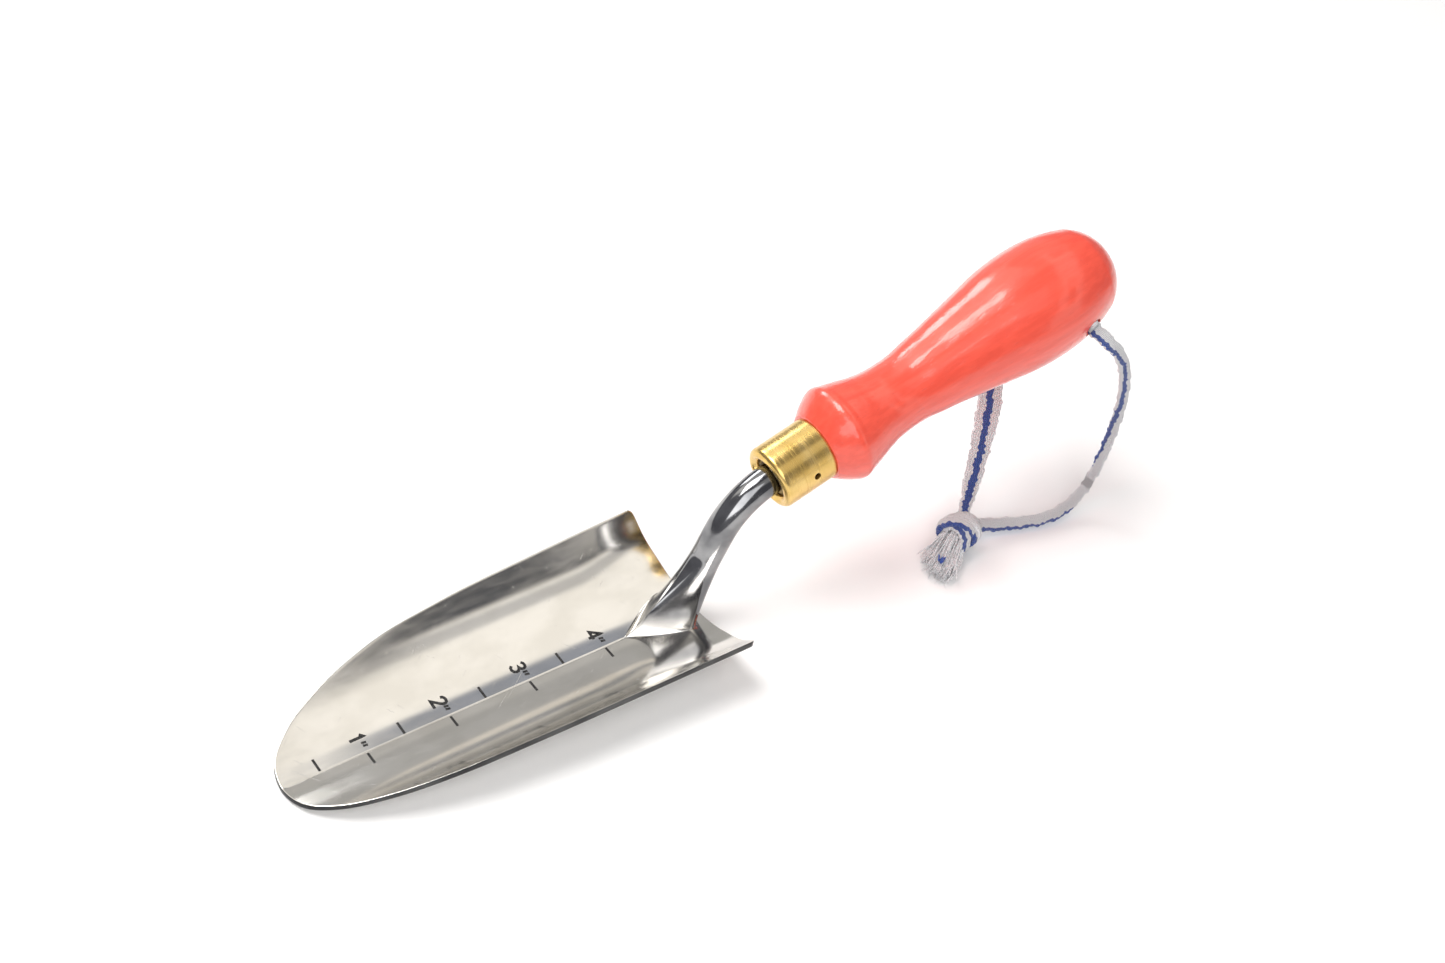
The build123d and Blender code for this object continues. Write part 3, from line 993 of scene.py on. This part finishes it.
def steel_material(name, deep, light, roughness, foot=None):
    """Polished steel with fine polishing lines, a few scratches and faint clouds.

    foot is a range of heights over which the colour goes from the blade's to this steel's own colour,
    which for the neck is a painted dark reflection.
    """
    material, tree, shader = blank(name)
    shader.inputs["Metallic"].default_value = 1.0
    clouds = noise(tree, mapped(tree, (60, 90, 90)), 1.0, 3.0)
    colour = blend(tree, remap(tree, clouds, 0.35, 0.65, 0, 1),
                   (*deep, 1), (*light, 1))
    # blend from the blade's colour at the floor up into the neck's painted dark reflection
    if foot:
        above_floor = add(tree, "ShaderNodeSeparateXYZ", {
            0: add(tree, "ShaderNodeTexCoord").outputs["Object"]}).outputs[2]
        colour = blend(tree, remap(tree, above_floor, *foot, 0, 1), (0.60, 0.585, 0.56, 1), colour)
    tree.links.new(colour, shader.inputs["Base Color"])
    grain = noise(tree, mapped(tree, (420, 5200, 5200), (0, 0, 0.2)), 1.0, 2.0)
    cross = noise(tree, mapped(tree, (500, 6800, 3000), (0, 0, -0.5)), 1.0, 2.0)
    long_scratch = noise(tree, mapped(tree, (55, 3600, 900), (0, 0, 0.95)), 1.0, 0.0)
    cut = remap(tree, long_scratch, 0.83, 0.86, 0, 1)
    other_scratch = noise(tree, mapped(tree, (60, 3300, 900), (0, 0, -0.62)), 1.0, 0.0)
    cuts = calc(tree, "MAXIMUM", cut, remap(tree, other_scratch, 0.83, 0.86, 0, 1))
    lines = calc(tree, "ADD", calc(tree, "MULTIPLY", grain, 0.35), calc(tree, "MULTIPLY", cross, 0.25))
    height = calc(tree, "SUBTRACT", lines, calc(tree, "MULTIPLY", cuts, 1.2))
    bump(tree, shader, height, 0.000010, 0.16)
    rough = noise(tree, mapped(tree, (120, 500, 500)), 1.0, 4.0)
    rough = remap(tree, rough, 0.3, 0.7, roughness, roughness + 0.03)
    tree.links.new(calc(tree, "ADD", rough, calc(tree, "MULTIPLY", cuts, 0.15)),
                   shader.inputs["Roughness"])
    return material


def engraving_material():
    """Dark filling of the engraved marks."""
    material, tree, shader = blank("engraving_fill")
    speck = noise(tree, mapped(tree, (3000, 3000, 3000)), 1.0, 2.0)
    tree.links.new(
        blend(tree, remap(tree, speck, 0.35, 0.7, 0, 1),
              (0.012, 0.012, 0.013, 1), (0.07, 0.068, 0.065, 1)),
        shader.inputs["Base Color"])
    shader.inputs["Roughness"].default_value = 0.55
    shader.inputs["Specular IOR Level"].default_value = 0.1
    bump(tree, shader, speck, 0.00003, 0.5)
    return material


TO_AXIS = (0, AXIS_PITCH, 0)


def brass_material():
    """Satin brass with turning lines round it."""
    material, tree, shader = blank("satin_brass")
    shader.inputs["Metallic"].default_value = 1.0
    lines = noise(tree, mapped(tree, (9000, 60, 60), TO_AXIS), 1.0, 2.0)
    bands = noise(tree, mapped(tree, (1500, 30, 30), TO_AXIS), 1.0, 3.0)
    clouds = noise(tree, mapped(tree, (150, 150, 150), TO_AXIS), 1.0, 3.0)
    tint = blend(tree, remap(tree, clouds, 0.35, 0.65, 0, 1),
                 (0.70, 0.47, 0.145, 1), (0.80, 0.57, 0.22, 1))
    tint = blend(tree, remap(tree, bands, 0.52, 0.72, 0, 0.35), tint, (0.46, 0.30, 0.08, 1))
    tree.links.new(tint, shader.inputs["Base Color"])
    tree.links.new(remap(tree, bands, 0.3, 0.7, 0.20, 0.30), shader.inputs["Roughness"])
    bump(tree, shader, calc(tree, "ADD", lines, bands), 0.00001, 0.25)
    return material


def paint_material():
    """Glossy coral-red paint over turned wood whose grain shows as fine ripples."""
    material, tree, shader = blank("painted_wood")
    grain = noise(tree, mapped(tree, (45, 520, 520), TO_AXIS), 1.0, 4.0, 0.55)
    pores = noise(tree, mapped(tree, (170, 2300, 2300), TO_AXIS), 1.0, 2.0)
    runs = noise(tree, mapped(tree, (90, 160, 160), TO_AXIS), 1.0, 3.0, 0.5, 0.6)
    tint = blend(tree, remap(tree, grain, 0.36, 0.66, 0, 1),
                 (0.80, 0.074, 0.040, 1), (0.87, 0.090, 0.050, 1))
    tint = blend(tree, remap(tree, pores, 0.64, 0.74, 0, 0.35), tint, (0.62, 0.048, 0.028, 1))
    tree.links.new(tint, shader.inputs["Base Color"])
    shader.inputs["Roughness"].default_value = 0.32
    shader.inputs["Coat Weight"].default_value = 0.75
    shader.inputs["Coat Roughness"].default_value = 0.07
    height = calc(tree, "ADD", calc(tree, "MULTIPLY", grain, 1.0), calc(tree, "MULTIPLY", runs, 1.6))
    pits = calc(tree, "MULTIPLY", remap(tree, pores, 0.62, 0.74, 0, 1), 0.25)
    height = calc(tree, "SUBTRACT", height, pits)
    node = add(tree, "ShaderNodeBump", {"Height": height, "Distance": 0.00018, "Strength": 0.5})
    tree.links.new(node.outputs[0], shader.inputs["Normal"])
    tree.links.new(node.outputs[0], shader.inputs["Coat Normal"])
    return material


def cord_material():
    """White knitted braid with a royal-blue stripe down its middle."""
    material, tree, shader = blank("braided_cord")
    uv = add(tree, "ShaderNodeUVMap").outputs[0]
    parts = add(tree, "ShaderNodeSeparateXYZ", {0: uv})
    across, run = parts.outputs[0], parts.outputs[1]
    jag = calc(tree, "MULTIPLY", calc(tree, "SINE", calc(tree, "MULTIPLY", run, 3.6)), 0.09)
    worn = calc(tree, "MULTIPLY", calc(tree, "SUBTRACT", noise(tree, uv, 0.7, 2.0), 0.5), 1.1)
    shifted = calc(tree, "ABSOLUTE", calc(tree, "ADD", calc(tree, "ADD", across, jag), worn))
    stripe = remap(tree, shifted, 0.62, 0.74, 1, 0)
    fibre = noise(tree, mapped(tree, (1800, 1800, 1800)), 1.0, 3.0, 0.6)
    white = blend(tree, fibre, (0.80, 0.80, 0.84, 1), (0.95, 0.95, 0.96, 1))
    blue = blend(tree, fibre, (0.003, 0.030, 0.22, 1), (0.010, 0.085, 0.46, 1))
    tree.links.new(blend(tree, stripe, white, blue), shader.inputs["Base Color"])
    shader.inputs["Roughness"].default_value = 0.9
    shader.inputs["Sheen Weight"].default_value = 0.35
    shader.inputs["Sheen Roughness"].default_value = 0.6
    shader.inputs["Subsurface Weight"].default_value = 0.12
    shader.inputs["Subsurface Radius"].default_value = (0.001, 0.001, 0.001)
    shader.inputs["Subsurface Scale"].default_value = 0.6
    column = calc(tree, "SINE", calc(tree, "MULTIPLY", across, 6.6))
    shift = calc(tree, "MULTIPLY", calc(tree, "SIGN", column), 1.57)
    chain = calc(tree, "SINE", calc(tree, "ADD", calc(tree, "MULTIPLY", run, 8.4), shift))
    knit = calc(tree, "ADD", calc(tree, "MULTIPLY", calc(tree, "ABSOLUTE", column), 0.9),
                calc(tree, "MULTIPLY", chain, 0.45))
    bump(tree, shader, calc(tree, "ADD", knit, calc(tree, "MULTIPLY", fibre, 0.9)), 0.00034, 1.0)
    return material


def crust_material():
    """Rough amber adhesive whose tone varies, with painted shade: darker where its bump sinks into
    hollows.
    """
    material, tree, shader = blank("adhesive")
    lumps = noise(tree, mapped(tree, (900, 900, 900)), 1.0, 4.0, 0.6)
    # one noise drives both colour and bump, so the dark end is painted shade in the hollows
    tree.links.new(
        blend(tree, remap(tree, lumps, 0.35, 0.65, 0, 1),
              (0.10, 0.055, 0.015, 1), (0.52, 0.36, 0.13, 1)),
        shader.inputs["Base Color"])
    shader.inputs["Roughness"].default_value = 0.5
    bump(tree, shader, lumps, 0.0004, 0.9)
    return material


def pin_material():
    """Dull darkened steel."""
    material, tree, shader = blank("pin_steel")
    shader.inputs["Metallic"].default_value = 1.0
    spots = noise(tree, mapped(tree, (2500, 2500, 2500)), 1.0, 3.0)
    tree.links.new(
        blend(tree, spots, (0.10, 0.085, 0.06, 1), (0.26, 0.22, 0.16, 1)), shader.inputs["Base Color"])
    shader.inputs["Roughness"].default_value = 0.5
    bump(tree, shader, spots, 0.00005, 0.6)
    return material


blade_steel = steel_material("polished_steel", (0.66, 0.64, 0.605), (0.73, 0.71, 0.68), 0.11)
# the neck's base colour is far darker than the blade's polished steel: a painted dark reflection of the
# surroundings, not the steel's own colour
neck_painted_reflection_steel = steel_material("painted_dark_reflection_neck", (0.16, 0.162, 0.17), (0.34, 0.34, 0.345), 0.12,
                          (0.0030, 0.0085))
# the blade's rounded rim is steel painted near-black: a painted dark reflection, not the steel's own
# colour
rim_painted_reflection_steel = steel_material("painted_dark_reflection_rim", (0.03, 0.03, 0.032), (0.09, 0.09, 0.09), 0.3)
cord_look = cord_material()
for obj, *materials in (
    (blade, blade_steel, rim_painted_reflection_steel), (neck, neck_painted_reflection_steel), (scale, engraving_material()),
    (ferrule, brass_material()), (pin, pin_material()), (handle, paint_material()),
    (crust, crust_material()), (near_leg, cord_look), (far_leg, cord_look), (inner_cord, cord_look),
    *[(piece, cord_look) for piece in knot_pieces + brush_pieces],
):
    for material in materials:
        obj.data.materials.append(material)


# ---------------------------------------------------------------- floor, light and surroundings
def make_floor():
    """Plain pale floor."""
    mesh = mesh_from("floor", [(-6, -6, 0), (6, -6, 0), (6, 6, 0), (-6, 6, 0)], [(0, 1, 2, 3)])
    floor = add_object("floor", mesh)
    floor.location.z = -0.0002
    material, tree, shader = blank("floor")
    grain = noise(tree, mapped(tree, (40, 40, 40)), 1.0, 2.0)
    tree.links.new(blend(tree, grain, (0.93, 0.93, 0.93, 1), (0.95, 0.95, 0.95, 1)),
                   shader.inputs["Base Color"])
    shader.inputs["Roughness"].default_value = 0.9
    shader.inputs["Specular IOR Level"].default_value = 0.0
    floor.data.materials.append(material)


def make_surroundings():
    """Studio surroundings by direction: a tent with dark openings where the blade mirrors it,
    and dim walls with two panels where the neck, ferrule and handle do."""
    world = bpy.data.worlds.new("studio")
    bpy.context.scene.world = world
    world.use_nodes = True
    tree = world.node_tree
    background = tree.nodes["Background"]
    parts = add(tree, "ShaderNodeSeparateXYZ", {0: add(tree, "ShaderNodeTexCoord").outputs["Generated"]})
    x, y, z = parts.outputs
    swing = calc(tree, "ARCTAN2", y, z)
    radians = math.radians

    def patch(low, high, soft, x_low, x_high, x_soft, swing=swing):
        """1 inside a range of swing about the X axis and of X, with soft edges."""
        inside = calc(tree, "MULTIPLY",
                      remap(tree, swing, radians(low - soft), radians(low), 0, 1),
                      remap(tree, swing, radians(high), radians(high + soft), 1, 0))
        lengthwise = calc(tree, "MULTIPLY",
                          remap(tree, x, x_low - x_soft, x_low, 0, 1),
                          remap(tree, x, x_high, x_high + x_soft, 1, 0))
        return calc(tree, "MULTIPLY", inside, lengthwise)

    # tent: bright over the left wing, grey over the right one
    bright, grey, dark = (1.32, 1.27, 1.18, 1), (0.50, 0.495, 0.48, 1), (0.06, 0.065, 0.08, 1)
    tent = blend(tree, remap(tree, swing, radians(28), radians(50), 0, 1), bright, grey)
    tent = blend(tree, remap(tree, swing, radians(-110), radians(-80), 1, 0), tent, grey)
    # band beside the crease, then the wide and the narrow streak of the left wing
    tent = blend(tree, patch(22, 31, 5, 0.352, 0.6, 0.012), tent, (0.36, 0.385, 0.44, 1))
    nearer = calc(tree, "SUBTRACT", swing, remap(tree, x, 0.350, 0.388, radians(24), 0, False))
    tent = blend(tree, patch(-66, -46, 6, 0.352, 0.468, 0.012, nearer), tent, dark)
    tent = blend(tree, calc(tree, "MULTIPLY", patch(-37, -31, 5, 0.40, 0.49, 0.05), 0.6),
                 tent, (0.30, 0.31, 0.34, 1))
    # dim walls and panels beside the tent
    beside = blend(tree, patch(26, 52, 8, -0.5, 0.12, 0.08),
                   (0.24, 0.24, 0.26, 1), (1.3, 1.27, 1.2, 1))
    beside = blend(tree, patch(-44, -22, 8, -0.3, 0.12, 0.08), beside, (0.9, 0.88, 0.84, 1))
    inside = calc(tree, "MULTIPLY",
                  remap(tree, x, 0.24, 0.32, 0, 1), remap(tree, x, 0.52, 0.62, 1, 0))
    tent = blend(tree, inside, beside, tent)
    tree.links.new(tent, background.inputs["Color"])
    background.inputs["Strength"].default_value = 1.0


def make_light(name, at, target, size, size_y, power, colour=(1, 1, 1)):
    """Rectangular soft light aimed at a point."""
    data = bpy.data.lights.new(name, "AREA")
    data.shape = "RECTANGLE"
    data.size, data.size_y = size, size_y
    data.energy = power
    data.color = colour
    light = bpy.data.objects.new(name, data)
    light.location = at
    light.rotation_mode = "QUATERNION"
    light.rotation_quaternion = (Vector(target) - Vector(at)).to_track_quat("-Z", "Y")
    bpy.context.scene.collection.objects.link(light)


make_floor()
make_surroundings()
middle = Vector((0, 0, 0.03))
make_light("key", (0.02, 0.95, 0.55), middle + Vector((0.06, 0, 0)), 0.40, 0.30, 3.0)
make_light("top", (-0.38, 0.30, 1.15), middle, 0.60, 0.60, 10.0, (1, 0.985, 0.96))
make_light("fill", (-0.62, -0.72, 0.80), middle + Vector((0.05, 0, 0)), 0.9, 0.9, 6.5)
bpy.context.scene.view_settings.view_transform = "Standard"

bpy.context.view_layer.update()
